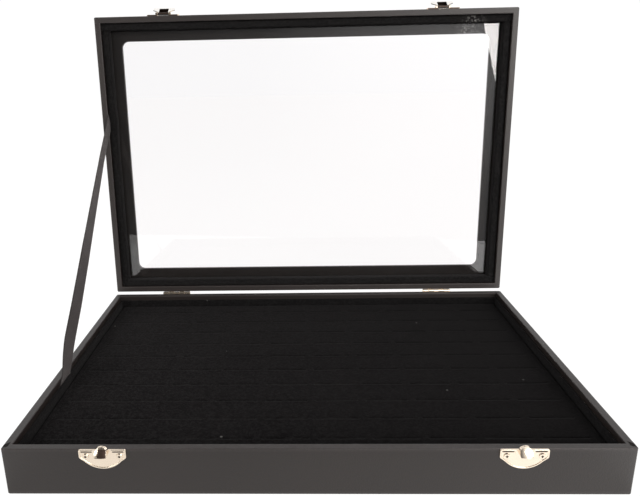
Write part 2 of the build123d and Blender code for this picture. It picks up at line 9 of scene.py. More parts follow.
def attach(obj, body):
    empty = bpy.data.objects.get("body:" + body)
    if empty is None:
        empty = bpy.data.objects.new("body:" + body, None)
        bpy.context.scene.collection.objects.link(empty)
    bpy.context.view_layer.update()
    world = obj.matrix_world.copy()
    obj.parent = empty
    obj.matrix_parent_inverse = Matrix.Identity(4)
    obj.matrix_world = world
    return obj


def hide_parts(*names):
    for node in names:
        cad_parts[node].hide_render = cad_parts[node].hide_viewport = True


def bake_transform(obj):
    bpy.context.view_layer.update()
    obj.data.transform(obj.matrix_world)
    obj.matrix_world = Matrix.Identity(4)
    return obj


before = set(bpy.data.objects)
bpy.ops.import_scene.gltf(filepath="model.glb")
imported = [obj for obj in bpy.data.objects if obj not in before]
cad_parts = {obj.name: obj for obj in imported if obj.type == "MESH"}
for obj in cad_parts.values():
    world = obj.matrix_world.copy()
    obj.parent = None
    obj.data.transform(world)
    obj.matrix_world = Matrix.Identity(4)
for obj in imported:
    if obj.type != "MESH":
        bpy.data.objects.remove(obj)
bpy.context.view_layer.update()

# Ring display case, open, on a white studio table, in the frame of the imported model.
# Sizes and places are written in millimetres, and MM turns them into metres. Scales, bump heights
# and the spans of shades inside the materials are in metres.

MM = 0.001

# Sizes of the case
case_width = 350.0
case_depth = 240.0
tray_height = 29.8
lid_height = 15.0
seam_gap = 0.3
wall = 4.8
cover = 0.5
corner_round = 1.2
rim_corner_round = 0.4
tight_corner_round = 0.3
inner_corner_round = 0.25
edge_round = 0.9
rim_crown = 0.5
under_turn = 12.0
floor_z = 3.5
inner_half_width = case_width / 2 - wall
inner_half_depth = case_depth / 2 - wall
lining_thickness = 1.5
lining_drop = 3.9
lining_top = tray_height - lining_drop
window_border = 19.0
window_corner_round = 5.5
glass_outer = 12.0
glass_inner = 10.0
retainer_width = 5.8
retainer_drop = 3.0

# Sizes of the ring pad
pad_clearance = 0.6
pad_half_width = inner_half_width - lining_thickness - pad_clearance
pad_half_depth = inner_half_depth - lining_thickness - pad_clearance
pad_top = 20.8
pad_corner_round = 3.0
pad_edge_roll = 2.4
slit_columns = 10
slit_rows = 10
slit_pitch_x = 32.6
slit_pitch_y = 21.4
slit_length = 26.5
slit_depth = 7.0
slit_half_gap = 0.15

# The ribbon stay, from where it leaves the tray to where it enters the lid
stay_off_wall = 0.25
stay_x = stay_off_wall - inner_half_width
stay_foot = Vector((stay_x, -33.1, lining_top))
stay_head = Vector((stay_x, 128.42, 182.8))
stay_width = 12.0
stay_tuck_tray = 9.0
stay_tuck_lid = 7.0

# The hasps: their middles from left to right, and where a flap turns on the lid
hasp_x = {"left": -117.5, "right": 114.0}
hasp_front = -case_depth / 2
hasp_screw_offset = 9.5
flap_pivot_out = 1.9
flap_pivot_lift = 3.8
flap_fold = math.radians(146.0)
plate_thickness = 0.8

# Where lint has gathered near the upper right corner of the open lid
lint_spot = Vector((139.0, 140.0, 256.5)) * MM
lint_reach = 14.0 * MM

# The lid's place: the closed lid turned back about the hinge line
hinge_standoff = 1.6
hinge_y = case_depth / 2 + hinge_standoff
hinge_z = tray_height + seam_gap / 2
open_angle = math.radians(92.5)
tray_place = Matrix.Identity(4)
lid_place = (
    Matrix.Translation((0, hinge_y, hinge_z))
    @ Matrix.Rotation(-open_angle, 4, "X")
    @ Matrix.Translation((0, -hinge_y, seam_gap / 2))
)


# Node helpers

def put(node, name, value):
    """Feeds a node's socket from another node's output, or sets its value."""
    if isinstance(value, bpy.types.NodeSocket):
        node.id_data.links.new(value, node.inputs[name])
    else:
        node.inputs[name].default_value = value


def make(tree, kind, settings=None, sockets=None):
    """A node of that kind with its settings made and its sockets fed."""
    node = tree.nodes.new(kind)
    for key, value in (settings or {}).items():
        setattr(node, key, value)
    for name, value in (sockets or {}).items():
        put(node, name, value)
    return node


def calc(tree, operation, first, second=0.0, clamp=False):
    """Arithmetic on one or two values."""
    settings = {"operation": operation, "use_clamp": clamp}
    return make(tree, "ShaderNodeMath", settings, {0: first, 1: second}).outputs[0]


def plus(tree, first, second):
    """The sum of two values."""
    return calc(tree, "ADD", first, second)


def times(tree, first, second):
    """One value times another."""
    return calc(tree, "MULTIPLY", first, second)


def span(tree, value, low, high, to_low=0.0, to_high=1.0):
    """A value carried from one range to another, and held at its ends."""
    sockets = {"Value": value, "From Min": low, "From Max": high, "To Min": to_low, "To Max": to_high}
    return make(tree, "ShaderNodeMapRange", {"clamp": True}, sockets).outputs["Result"]


def blend_colours(tree, factor, first, second):
    """One colour going over into another."""
    sockets = {0: factor, 6: first, 7: second}
    return make(tree, "ShaderNodeMix", {"data_type": "RGBA"}, sockets).outputs[2]


def layered(tree, base, *layers):
    """A colour with others laid over it in turn, each given as how much of it and which."""
    for amount, colour in layers:
        base = blend_colours(tree, amount, base, colour)
    return base


def clouds(tree, vector, scale, detail=3.0, roughness=0.6):
    """Soft random patches between 0 and 1."""
    sockets = {"Vector": vector, "Scale": scale, "Detail": detail, "Roughness": roughness}
    return make(tree, "ShaderNodeTexNoise", None, sockets).outputs["Fac"]


def cells(tree, vector, scale):
    """Random cells: the distance from the middle of each, and a colour for each."""
    return make(tree, "ShaderNodeTexVoronoi", None, {"Vector": vector, "Scale": scale}).outputs


def stretched(tree, vector, scale, rotation=(0.0, 0.0, 0.0)):
    """The vector made longer or shorter along its axes."""
    sockets = {"Vector": vector, "Scale": scale, "Rotation": rotation}
    return make(tree, "ShaderNodeMapping", None, sockets).outputs["Vector"]


def wave(tree, value, rate):
    """A sine wave of the value times the rate."""
    return calc(tree, "SINE", times(tree, value, rate))


def axis(tree, place, name):
    """One coordinate of a place."""
    return make(tree, "ShaderNodeSeparateXYZ", None, {0: place}).outputs[name]


def painted(tree, name):
    """A value stored at the points of the mesh."""
    return make(tree, "ShaderNodeAttribute", {"attribute_name": name}).outputs["Fac"]


def bump(tree, height, strength, distance):
    """The normal of a surface with that relief."""
    sockets = {"Height": height, "Strength": strength, "Distance": distance}
    return make(tree, "ShaderNodeBump", None, sockets).outputs["Normal"]


# Shader node groups

def new_group(name, inputs, outputs):
    """A shader node group, what it is given, and the node that its outputs are put in.

    inputs holds each input's default, and None for a place on the surface.
    """
    group = bpy.data.node_groups.new(name, "ShaderNodeTree")
    for label, value in inputs.items():
        kind = "NodeSocketVector" if value is None else "NodeSocketFloat"
        socket = group.interface.new_socket(label, in_out="INPUT", socket_type=kind)
        if value is not None:
            socket.default_value = value
    for label in outputs:
        group.interface.new_socket(label, in_out="OUTPUT", socket_type="NodeSocketFloat")
    return group, make(group, "NodeGroupInput").outputs, make(group, "NodeGroupOutput")


def use(tree, group, sockets):
    """The outputs of a shader node group placed in a material."""
    return make(tree, "ShaderNodeGroup", {"node_tree": group}, sockets).outputs


def grain_group():
    """Pressed grain of leatherette: small pebbles, the creases between them and broad patches."""
    inputs = {"Vector": None, "Pebble Scale": 1100.0, "Patch Scale": 14.0}
    group, given, out = new_group("pressed_grain", inputs, ("Height", "Crease", "Patch"))
    away = cells(group, given["Vector"], given["Pebble Scale"])["Distance"]
    pebble = calc(group, "SUBTRACT", 1.0, away)
    fine = clouds(group, given["Vector"], times(group, given["Pebble Scale"], 0.55), 4.0)
    put(out, "Height", times(group, plus(group, pebble, fine), 0.6))
    put(out, "Crease", span(group, away, 0.35, 0.75))
    put(out, "Patch", clouds(group, given["Vector"], given["Patch Scale"], 3.0, 0.55))
    return group


def pile_group():
    """Velvet pile: its relief, the nap laid in soft strokes, and the fibres that catch light."""
    inputs = {"Vector": None, "Fibre Scale": 1500.0, "Nap Scale": 60.0}
    group, given, out = new_group("velvet_pile", inputs, ("Height", "Nap", "Fibre"))
    vector = given["Vector"]
    fibre = clouds(group, vector, given["Fibre Scale"], 2.0, 0.7)
    tuft = clouds(group, vector, times(group, given["Fibre Scale"], 0.4), 2.0)
    strokes = stretched(group, vector, (0.35, 1.0, 1.0))
    nap = clouds(group, strokes, given["Nap Scale"], 5.0, 0.65)
    broad = clouds(group, vector, times(group, given["Nap Scale"], 0.18), 2.0, 0.5)
    put(out, "Height", plus(group, times(group, fibre, 0.7), times(group, nap, 0.5)))
    put(out, "Nap", span(group, plus(group, nap, broad), 0.7, 1.3))
    put(out, "Fibre", span(group, times(group, plus(group, fibre, tuft), 0.5), 0.44, 0.60))
    return group


def lint_group():
    """Specks of lint and dust, a few cells out of many, each with its own size."""
    inputs = {"Vector": None, "Scale": 120.0, "Size": 0.12, "Share": 0.2}
    group, given, out = new_group("lint_specks", inputs, ("Mask",))
    spots = cells(group, given["Vector"], given["Scale"])
    chance = make(group, "ShaderNodeSeparateColor", None, {"Color": spots["Color"]}).outputs
    picked = calc(group, "LESS_THAN", chance["Red"], given["Share"])
    size = times(group, given["Size"], plus(group, chance["Green"], 0.4))
    inside = calc(group, "LESS_THAN", spots["Distance"], size)
    put(out, "Mask", times(group, chance["Blue"], times(group, inside, picked)))
    return group


def rub_group():
    """Handling marks on plated metal: hair scratches one way and a soft haze."""
    inputs = {"Vector": None, "Scratch Scale": 260.0, "Haze Scale": 90.0}
    group, given, out = new_group("rub_marks", inputs, ("Scratch", "Haze"))
    along = stretched(group, given["Vector"], (0.12, 1.0, 1.0), (0.0, 0.0, 0.4))
    lines = clouds(group, along, given["Scratch Scale"], 3.0, 0.8)
    put(out, "Scratch", span(group, lines, 0.58, 0.66))
    put(out, "Haze", clouds(group, given["Vector"], given["Haze Scale"]))
    return group


def weave_group():
    """Grosgrain ribbon from its flat length: cross ribs, warp threads and firm selvedges."""
    inputs = {"Across": 0.0, "Along": 0.0, "Rib Length": 0.9, "Threads": 26.0}
    group, given, out = new_group("ribbon_weave", inputs, ("Height", "Selvedge", "Twill"))
    ribs = calc(group, "DIVIDE", given["Along"], given["Rib Length"])
    threads = times(group, given["Across"], given["Threads"])
    rib = wave(group, ribs, 2 * math.pi)
    warp = wave(group, threads, 2 * math.pi)
    twill = wave(group, plus(group, ribs, times(group, threads, 0.5)), math.pi)
    height = plus(group, times(group, rib, 0.35), times(group, warp, 0.2))
    put(out, "Height", plus(group, height, times(group, twill, 0.3)))
    from_middle = calc(group, "ABSOLUTE", calc(group, "SUBTRACT", given["Across"], 0.5))
    put(out, "Selvedge", span(group, from_middle, 0.40, 0.46))
    put(out, "Twill", span(group, twill, -1.0, 1.0))
    return group


pressed_grain = grain_group()
velvet_pile = pile_group()
lint_specks = lint_group()
rub_marks = rub_group()
ribbon_weave = weave_group()


# Materials

rubbed_edge = (0.075, 0.064, 0.063, 1)
crease_shade = (0.012, 0.011, 0.011, 1)
fold_shade = (0.008, 0.007, 0.007, 1)
dust_on_leather = (0.45, 0.42, 0.40, 1)
lint_on_leather = (0.50, 0.49, 0.48, 1)
lint_on_velvet = (0.35, 0.34, 0.33, 1)
# Painted sheen of the velvet pile where it splays open on the slit lips
splayed_pile_sheen = (0.030, 0.0285, 0.0285, 1)
velvet_sheen = (0.085, 0.081, 0.083, 1)
ribbon_dark = (0.044, 0.036, 0.036, 1)
ribbon_pale = (0.100, 0.085, 0.085, 1)
twill_shade = (0.020, 0.018, 0.017, 1)
selvedge_shade = (0.016, 0.014, 0.014, 1)


def blank_material(name):
    """An empty material: it, its node tree, its output node and its object coordinates."""
    material = bpy.data.materials.new(name)
    material.use_nodes = True
    tree = material.node_tree
    tree.nodes.clear()
    surface = make(tree, "ShaderNodeOutputMaterial")
    place = make(tree, "ShaderNodeTexCoord").outputs["Object"]
    return material, tree, surface, place


def new_material(name):
    """A material with a Principled shader: it, its node tree, the shader and its coordinates."""
    material, tree, surface, place = blank_material(name)
    shader = make(tree, "ShaderNodeBsdfPrincipled")
    put(surface, "Surface", shader.outputs[0])
    return material, tree, shader, place


def lint_patch(tree, place, strength):
    """Fine lint gathered round lint_spot: a mask that fades out at its reach."""
    away = make(tree, "ShaderNodeVectorMath", {"operation": "DISTANCE"}, {0: place, 1: lint_spot})
    specks = use(tree, lint_specks, {"Vector": place, "Scale": 760.0, "Size": 0.48, "Share": 0.85})
    near = span(tree, away.outputs["Value"], lint_reach, lint_reach * 0.35)
    return times(tree, times(tree, specks["Mask"], near), strength)


def leatherette(name, dark, pale, roughness, wear, gloss=0.5, lint=0.0):
    """Black leatherette: pressed grain and dust, rubbed paler where its edge attribute is high.

    wear is how far its edges are rubbed, and lint how strongly the gathered lint shows on it.
    """
    material, tree, shader, place = new_material(name)
    grain = use(tree, pressed_grain, {"Vector": place})
    dust = use(tree, lint_specks, {"Vector": place, "Scale": 150.0, "Size": 0.05, "Share": 0.06})
    worn = times(tree, painted(tree, "edge"), plus(tree, grain["Patch"], 0.35))
    colour = layered(
        tree,
        blend_colours(tree, grain["Patch"], dark, pale),
        (calc(tree, "MULTIPLY", worn, wear, clamp=True), rubbed_edge),
        (times(tree, grain["Crease"], 0.35), crease_shade),
        (times(tree, painted(tree, "fold"), 0.7), fold_shade),
        (times(tree, dust["Mask"], 0.8), dust_on_leather),
        (lint_patch(tree, place, lint), lint_on_leather),
    )
    put(shader, "Base Color", colour)
    put(shader, "Roughness", plus(tree, times(tree, grain["Patch"], 0.12), roughness - 0.06))
    put(shader, "Specular IOR Level", gloss)
    put(shader, "Normal", bump(tree, grain["Height"], 0.35, 0.25 * MM))
    return material


def velvet(name, dark, pale, tip, sheen, right_shade=0.0):
    """Black velvet: pile, nap and lint, with a painted sheen where its lip attribute splays the pile open.

    The last argument is how much painted shade darkens the pile towards the right.
    """
    material, tree, shader, place = new_material(name)
    pile = use(tree, velvet_pile, {"Vector": place})
    specks = use(tree, lint_specks, {"Vector": place, "Scale": 110.0, "Size": 0.085, "Share": 0.05})
    # Painted sheen on the slit lips, where the lip attribute is high
    lip_sheen = times(tree, painted(tree, "lip"), plus(tree, times(tree, pile["Nap"], 0.8), 0.25))
    # Painted shade: the pile is painted darker towards the right
    shade_to_right = span(tree, axis(tree, place, "X"), -0.12, 0.14, 0.0, right_shade)
    colour = layered(
        tree,
        blend_colours(tree, pile["Nap"], dark, pale),
        (times(tree, pile["Fibre"], 0.75), tip),
        (calc(tree, "MINIMUM", lip_sheen, 1.0), splayed_pile_sheen),
        (shade_to_right, dark),
        (calc(tree, "MAXIMUM", specks["Mask"], lint_patch(tree, place, 0.9)), lint_on_velvet),
    )
    put(shader, "Base Color", colour)
    put(shader, "Roughness", 0.95)
    put(shader, "Specular IOR Level", 0.04)
    put(shader, "Sheen Weight", sheen)
    put(shader, "Sheen Roughness", 0.5)
    put(shader, "Sheen Tint", velvet_sheen)
    put(shader, "Normal", bump(tree, pile["Height"], 0.5, 0.6 * MM))
    return material


def plated(name, colour, shadow, roughness):
    """Nickel plate with hair scratches, and a haze in which its colour goes over into shadow."""
    material, tree, shader, place = new_material(name)
    marks = use(tree, rub_marks, {"Vector": place})
    put(shader, "Base Color", blend_colours(tree, times(tree, marks["Haze"], 0.5), colour, shadow))
    put(shader, "Metallic", 1.0)
    rubbed = times(tree, plus(tree, marks["Haze"], marks["Scratch"]), 0.12)
    put(shader, "Roughness", plus(tree, rubbed, roughness))
    put(shader, "Normal", bump(tree, marks["Scratch"], 0.06, 0.1 * MM))
    return material


def ribbon_finish():
    """Brown-grey grosgrain with pale flecks, paler towards the lid, with dark selvedges."""
    material, tree, shader, place = new_material("stay_grosgrain")
    flat = make(tree, "ShaderNodeUVMap", {"uv_map": "flat"}).outputs["UV"]
    weave = use(tree, ribbon_weave, {"Across": axis(tree, flat, "X"), "Along": axis(tree, flat, "Y")})
    flecks = use(tree, lint_specks, {"Vector": place, "Scale": 900.0, "Size": 0.3, "Share": 0.12})
    # Paler higher up, towards the lid, with random patches and flecks
    upper = span(tree, axis(tree, place, "Z"), 0.06, 0.14, 0.0, 0.5)
    paleness = plus(tree, plus(tree, clouds(tree, place, 90.0), upper), times(tree, flecks["Mask"], 1.2))
    colour = layered(
        tree,
        blend_colours(tree, times(tree, paleness, 0.9), ribbon_dark, ribbon_pale),
        (times(tree, weave["Twill"], 0.45), twill_shade),
        (times(tree, weave["Selvedge"], 0.7), selvedge_shade),
    )
    put(shader, "Base Color", colour)
    put(shader, "Roughness", 0.7)
    put(shader, "Specular IOR Level", 0.35)
    put(shader, "Sheen Weight", 0.15)
    put(shader, "Sheen Roughness", 0.4)
    put(shader, "Normal", bump(tree, weave["Height"], 0.5, 0.25 * MM))
    return material


def glass_finish():
    """Clear picture glass with a few specks of dust, which lets lamps shine through."""
    material, tree, surface, place = blank_material("window_glass")
    shader = make(tree, "ShaderNodeBsdfPrincipled")
    specks = use(tree, lint_specks, {"Vector": place, "Scale": 60.0, "Size": 0.05, "Share": 0.12})
    tint = blend_colours(tree, clouds(tree, place, 30.0), (1.0, 0.990, 0.996, 1), (0.997, 0.983, 0.991, 1))
    put(shader, "Base Color", tint)
    put(shader, "Roughness", times(tree, specks["Mask"], 0.25))
    put(shader, "Metallic", 0.0)
    put(shader, "Transmission Weight", 1.0)
    put(shader, "IOR", 1.5)
    ray = make(tree, "ShaderNodeLightPath").outputs
    soft = calc(tree, "MAXIMUM", ray["Is Shadow Ray"], ray["Is Diffuse Ray"])
    clear = make(tree, "ShaderNodeBsdfTransparent")
    both = make(tree, "ShaderNodeMixShader", None, {0: soft, 1: shader.outputs[0], 2: clear.outputs[0]})
    put(surface, "Surface", both.outputs[0])
    return material


def board_finish(name, dark, pale, scale, roughness):
    """Raw board, card or foam: small fibres or pores and uneven colour."""
    material, tree, shader, place = new_material(name)
    fibres = clouds(tree, stretched(tree, place, (0.25, 1.0, 1.0)), scale, 5.0, 0.7)
    patches = clouds(tree, place, 25.0, 2.0, 0.5)
    put(shader, "Base Color", blend_colours(tree, times(tree, fibres, patches), dark, pale))
    put(shader, "Roughness", roughness)
    put(shader, "Normal", bump(tree, fibres, 0.4, 0.2 * MM))
    return material


case_leatherette = leatherette(
    "case_leatherette", dark=(0.0120, 0.0082, 0.0068, 1), pale=(0.0220, 0.0160, 0.0140, 1),
    roughness=0.46, wear=0.35,
)
border_lining = leatherette(
    "border_lining", dark=(0.0100, 0.0086, 0.0080, 1), pale=(0.0170, 0.0150, 0.0138, 1),
    roughness=0.8, wear=0.1, gloss=0.1, lint=0.8,
)
case_velvet = velvet(
    "case_velvet", dark=(0.0032, 0.0030, 0.0031, 1), pale=(0.0060, 0.0057, 0.0058, 1),
    tip=(0.0155, 0.0149, 0.0152, 1), sheen=0.45,
)
retainer_velvet = velvet(
    "retainer_velvet", dark=(0.0052, 0.0049, 0.0050, 1), pale=(0.0095, 0.0091, 0.0092, 1),
    tip=(0.0235, 0.0226, 0.0230, 1), sheen=0.5,
)
pad_pile = velvet(
    "pad_pile", dark=(0.0004, 0.0003, 0.0004, 1), pale=(0.0036, 0.0033, 0.0034, 1),
    tip=(0.0165, 0.0156, 0.0159, 1), sheen=0.36, right_shade=0.7,
)
champagne_nickel = plated("champagne_nickel", (0.86, 0.745, 0.61, 1), (0.68, 0.57, 0.455, 1), 0.16)
bright_nickel = plated("bright_nickel", (0.97, 0.945, 0.91, 1), (0.90, 0.87, 0.83, 1), 0.14)
# A dark plated finish for painted shade and painted dark reflection on the hasps
painted_shade_nickel = plated("painted_shade_nickel", (0.085, 0.06, 0.048, 1), (0.05, 0.034, 0.028, 1), 0.4)
stay_grosgrain = ribbon_finish()
window_glass = glass_finish()
raw_board = board_finish("raw_board", (0.30, 0.22, 0.14, 1), (0.50, 0.40, 0.28, 1), 900.0, 0.85)
grey_card = board_finish("grey_card", (0.20, 0.19, 0.18, 1), (0.34, 0.33, 0.31, 1), 1200.0, 0.9)
dark_foam = board_finish("dark_foam", (0.02, 0.02, 0.02, 1), (0.06, 0.06, 0.06, 1), 1800.0, 0.95)


# Mesh helpers

def metre_place(place):
    """A place written in millimetres, for a mesh in metres."""
    moved = place.copy()
    moved.translation = place.translation * MM
    return moved


def mesh_piece(
    name, points, faces, materials, body, place=tray_place, uvs=None, painted_values=None
):
    """A piece from points in millimetres in a place, riding on a body if one is given."""
    mesh = bpy.data.meshes.new(name)
    mesh.from_pydata(points, [], faces)
    mesh.transform(Matrix.Diagonal((MM, MM, MM, 1.0)))
    mesh.transform(metre_place(place))
    mesh.validate()
    if uvs is not None:
        layer = mesh.uv_layers.new(name="flat")
        for loop in mesh.loops:
            layer.data[loop.index].uv = uvs[loop.vertex_index]
    for label, values in (painted_values or {}).items():
        attribute = mesh.attributes.new(label, "FLOAT", "POINT")
        attribute.data.foreach_set("value", np.asarray(values, np.float32))
    for polygon in mesh.polygons:
        polygon.use_smooth = True
    for material in materials:
        mesh.materials.append(material)
    piece = bpy.data.objects.new(name, mesh)
    bpy.context.scene.collection.objects.link(piece)
    if body:
        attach(piece, body)
    return piece


def ripple(x, y, z, size, seed):
    """Smooth random number between -1 and 1 that changes over about size millimetres."""
    return noise.noise(Vector((x / size + seed * 7.3, y / size - seed * 3.1, z / size + seed)))


def even(first, last, count):
    """Numbers from first to last in count equal steps."""
    return [first + (last - first) * index / count for index in range(count + 1)]


def arc_points(centre, radius, start, end, count):
    """Points on an arc in a profile, from one angle in degrees to another."""
    points = []
    for degrees in even(start, end, count):
        angle = math.radians(degrees)
        points.append((centre[0] + radius * math.cos(angle), centre[1] + radius * math.sin(angle)))
    return points


def loop_faces(loops, size, closed=False):
    """Faces from each loop of points to the next, with a face on both ends unless it is closed."""
    faces = []
    for row in range(loops if closed else loops - 1):
        here = row * size
        after = (row + 1) % loops * size
        for index in range(size):
            beside = (index + 1) % size
            faces.append((here + index, here + beside, after + beside, after + index))
    if not closed:
        faces.append(tuple(range(size)))
        faces.append(tuple((loops - 1) * size + index for index in reversed(range(size))))
    return faces


# Leatherette coverings

long_side_steps = 96
short_side_steps = 66
corner_steps = 6
least_radius = 0.05
worn_enough_to_fold = 0.4

# The folds of leatherette at the front corners of the tray's rim
corner_fold_front = 1.8 - case_depth / 2
corner_fold_back = 5.8 - case_depth / 2
corner_fold_width = 0.66 * wall
corner_fold_drop = 0.7


def ring(half_width, half_depth, radius):
    """A rounded rectangle as (x, y, fold) points, where fold is 1 on a corner's diagonal."""
    radius = max(radius, least_radius)
    across = half_width - radius
    along = half_depth - radius
    corners = ((across, along, 0), (-across, along, 90), (-across, -along, 180), (across, -along, 270))
    points = []
    for index, (corner_x, corner_y, start) in enumerate(corners):
        for step, degrees in enumerate(even(start, start + 90, corner_steps)):
            angle = math.radians(degrees)
            fold = 1.0 if step * 2 == corner_steps else 0.0
            points.append((corner_x + radius * math.cos(angle), corner_y + radius * math.sin(angle), fold))
        last_x, last_y, _ = points[-1]
        next_x, next_y, turn = corners[(index + 1) % 4]
        next_x += radius * math.cos(math.radians(turn))
        next_y += radius * math.sin(math.radians(turn))
        steps = short_side_steps if index % 2 else long_side_steps
        for step in range(1, steps):
            share = step / steps
            points.append((last_x + (next_x - last_x) * share, last_y + (next_y - last_y) * share, 0.0))
    return points


def unevenness(x, y, z, seed):
    """Slight unevenness of a skin glued over board."""
    return 0.7 * ripple(x, y, z, 46.0, seed) + 0.3 * ripple(x, y, z, 13.0, seed + 5)


def swept_skin(profile, seed):
    """A closed skin swept round the case, and what is painted on its points.

    Profile rows are (inset, height, radius, edge, wave_height): edge is how much the row is rubbed,
    and wave_height how far its unevenness pushes it out.
    """
    points, edges, folds = [], [], []
    for inset, height, radius, edge, wave_height in profile:
        for x, y, fold in ring(case_width / 2 - inset, case_depth / 2 - inset, radius):
            shift = wave_height * unevenness(x, y, height, seed)
            points.append((x * (1 + shift / case_width), y * (1 + shift / case_depth), height))
            edges.append(edge)
            folds.append(fold if edge > worn_enough_to_fold else 0.0)
    faces = loop_faces(len(profile), len(points) // len(profile), closed=True)
    return points, faces, {"edge": edges, "fold": folds}


def rows_at(spots, radius, edge=0.0, wave_height=0.0):
    """Profile rows at (inset, height) spots that share a corner radius, rubbing and unevenness."""
    return [(inset, height, radius, edge, wave_height) for inset, height in spots]


def crown_rows(spots):
    """Profile rows over the outer edge of a rim, whose corners tighten with the inset."""
    rows = []
    for inset, height in spots:
        rows += rows_at([(inset, height)], max(corner_round - inset, rim_corner_round), 1.0)
    return rows


def tray_profile():
    """Profile of the tray's covering: under the base, up the outside, over the rim and inside."""
    top = tray_height
    crown = top - rim_crown
    inside = (top - 1.5, top - 3.0, lining_top - 1.0, 12.0, floor_z)
    inner_crown = arc_points((wall - rim_crown, crown), rim_crown, 90, 0, 5)
    glued = [(wall - cover, floor_z), (wall - cover, top - cover)]
    rows = rows_at([(under_turn, 0.0)], rim_corner_round) + rows_at([(under_turn / 2, 0.0)], 0.8)
    rows += rows_at(arc_points((edge_round, edge_round), edge_round, 270, 180, 4), corner_round, 0.5)
    rows += rows_at([(0.0, height) for height in even(3.0, top - 2.2, 7)], corner_round, 0.0, -0.09)
    rows += rows_at([(0.0, crown - 0.3)], corner_round, 0.6, -0.03)
    rows += crown_rows(arc_points((rim_crown, crown), rim_crown, 180, 90, 5))
    rows += rows_at([(wall * 0.35, top - 0.02)], rim_corner_round, 0.7)
    rows += rows_at([(wall * 0.65, top - 0.03)], tight_corner_round, 0.7)
    rows += rows_at(inner_crown, inner_corner_round, 1.0)
    rows += rows_at([(wall, height) for height in inside], inner_corner_round)
    rows += rows_at(glued, tight_corner_round)
    rows += rows_at([(cover, top - cover), (cover, cover)], 0.7)
    rows += rows_at([(under_turn, cover)], rim_corner_round)
    return rows


def lid_profile():
    """Profile of the lid's covering, from the inside over the rim and the top to the window."""
    top = lid_height
    edge = window_border
    outside = ((1.4, -0.02), (4.0, -0.06), (7.5, -0.06), (11.0, -0.06), (13.4, -0.02))
    inner_crown = arc_points((wall - rim_crown, rim_crown), rim_crown, 0, -90, 5)
    window_foot = arc_points((edge - 0.35, glass_outer + 0.35), 0.35, 0, -90, 3)
    rows = rows_at([(wall, height) for height in (glass_outer, 8.0, 3.0, 1.6)], inner_corner_round)
    rows += rows_at(inner_crown, inner_corner_round, 1.0)
    rows += rows_at([(wall * 0.65, 0.03)], tight_corner_round, 0.7)
    rows += rows_at([(wall * 0.35, 0.02)], rim_corner_round, 0.7)
    rows += crown_rows(arc_points((rim_crown, rim_crown), rim_crown, 270, 180, 5))
    for height, wave_height in outside:
        rows += rows_at([(0.0, height)], corner_round, 0.0, wave_height)
    rows += rows_at(arc_points((edge_round, top - edge_round), edge_round, 180, 90, 5), corner_round, 0.8)
    for inset in (4.0, 8.0, 12.0, 16.0):
        radius = corner_round + (window_corner_round - corner_round) * inset / edge
        rows += rows_at([(inset, top - 0.02)], radius)
    rows += rows_at(arc_points((edge - 0.45, top - 0.45), 0.45, 90, 0, 3), window_corner_round, 0.7)
    rows += rows_at(window_foot, window_corner_round, 0.5)
    for inset in (14.0, 9.0):
        share = (inset - wall) / (edge - wall)
        radius = inner_corner_round + (window_corner_round - inner_corner_round) * share
        rows += rows_at([(inset, glass_outer + 0.02)], radius)
    return rows


def in_corner_fold(spot):
    """Whether a place in millimetres is on the folds at the front corners of the tray's rim."""
    at_side = abs(spot.x) > case_width / 2 - corner_fold_width
    on_rim = tray_height - corner_fold_drop < spot.z
    return at_side and on_rim and corner_fold_front < spot.y < corner_fold_back


def covering(name, profile, body, place, seed, node):
    """A leatherette skin: smoother round the window inside the lid, darker in the corner folds."""
    points, faces, painted_values = swept_skin(profile, seed)
    piece = mesh_piece(
        name, points, faces, [case_leatherette, border_lining], body, place,
        painted_values=painted_values,
    )
    around = len(points) // len(profile)
    on_border = [inset >= wall and abs(height - glass_outer) < 0.1 for inset, height, *_ in profile]
    for polygon in piece.data.polygons:
        row = polygon.index // around
        round_window = on_border[row] and on_border[(row + 1) % len(profile)]
        if round_window or (body == "tray" and in_corner_fold(polygon.center / MM)):
            polygon.material_index = 1
    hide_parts(node)


covering("tray_leatherette", tray_profile(), "tray", tray_place, 1, "tray_covering")
covering("lid_leatherette", lid_profile(), "lid", lid_place, 2, "lid_covering")


# Velvet-covered strips

strip_step = 3.0
velvet_looseness = 0.12
glued_velvet = 0.3

# How strips bow out over the ribbon, and where it passes behind the left ones, from their middles
bow_height = 0.55
bow_reach = 17.0
stay_behind_lining = 38.0
stay_behind_retainer = 33.0


def bow_over_stay(distance):
    """How far a strip bows out over the ribbon behind it, at a distance from the ribbon's middle."""
    return bow_height * (0.5 + 0.5 * math.cos(math.pi * min(abs(distance) / bow_reach, 1.0)))


def strip(name, run, profile, material, body, place, seed, node, stay_at=None):
    """A velvet-wrapped strip of board along a wall.

    run is its start, its end and the way out of the wall, profile a closed loop of (out of the
    wall, height) points, and stay_at where along the strip the ribbon passes behind it.
    """
    start, end, inward = (Vector((*spot, 0)) for spot in run)
    along = end - start
    steps = max(int(along.length / strip_step), 8)
    points = []
    for step in range(steps + 1):
        base = start + along * (step / steps)
        bow = bow_over_stay(along.length * step / steps - stay_at) if stay_at else 0.0
        for out, height in profile:
            loose = out > glued_velvet and 0 < step < steps
            soft = velvet_looseness * ripple(base.x, base.y, height, 22.0, seed) if loose else 0.0
            spot = base + inward * (out + bow + soft)
            points.append((spot.x, spot.y, height + 0.5 * soft))
    faces = loop_faces(steps + 1, len(profile))
    piece = mesh_piece(name, points, faces, [material], body, place)
    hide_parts(node)


def lining_profile():
    """Loop of a tray lining: flat at the wall, velvet rolled over its top."""
    thick = lining_thickness
    loop = [(0.05, floor_z), (0.05, 15.0), (0.05, lining_top - 0.7)]
    loop += arc_points((thick / 2 + 0.02, lining_top - 0.72), 0.71, 180, 0, 6)
    for height in (22.5, 20.0, 16.0, 10.0, floor_z):
        loop.append((thick, height))
    return loop


